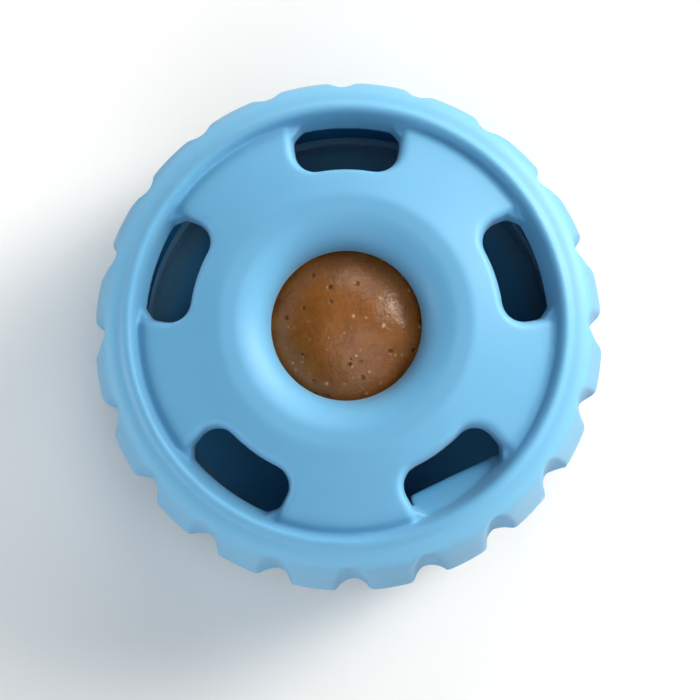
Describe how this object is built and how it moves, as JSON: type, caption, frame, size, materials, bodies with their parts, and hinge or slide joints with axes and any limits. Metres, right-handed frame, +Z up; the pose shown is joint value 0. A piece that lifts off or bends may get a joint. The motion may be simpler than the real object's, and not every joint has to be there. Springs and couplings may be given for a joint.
{
  "type": "treat dispensing toy",
  "caption": "Round rubber chew toy that unscrews in two halves round a ball of treat, with funnel mouths, five slots and a lugged belt.",
  "frame": {"origin": "on the toy's axis, at the flat ring of the lower half that the toy stands on", "axes": "+Z up along the axis through both mouths, slotted half up; +Y through the middle of one slot, the ramp in the slot at 306 degrees"},
  "size_m": [0.1018, 0.1018, 0.06],
  "materials": {
    "blue_rubber": "satin",
    "blue_nylon": "satin",
    "brown_treat": "satin"
  },
  "bodies": {
    "lower_half": {"lower_shell": "blue_rubber", "lower_thread_ring": "blue_nylon"},
    "treat": {"treat_ball": "brown_treat"},
    "upper_half": {"upper_shell": "blue_rubber", "upper_thread_ring": "blue_nylon"}
  },
  "joints": [
    {"name": "lift", "type": "slide", "parent": "lower_half", "child": "treat", "axis": [0, 0, 1], "range_m": [0, 0.01]},
    {"name": "twist", "type": "hinge", "parent": "treat", "child": "upper_half", "pos_m": [0, 0, 0.03], "axis": [0, 0, 1], "range_deg": [0, 360]}
  ],
  "couplings": [
    {"joint": "lift", "follows": "twist", "m_per_rad": 0.0015915}
  ]
}
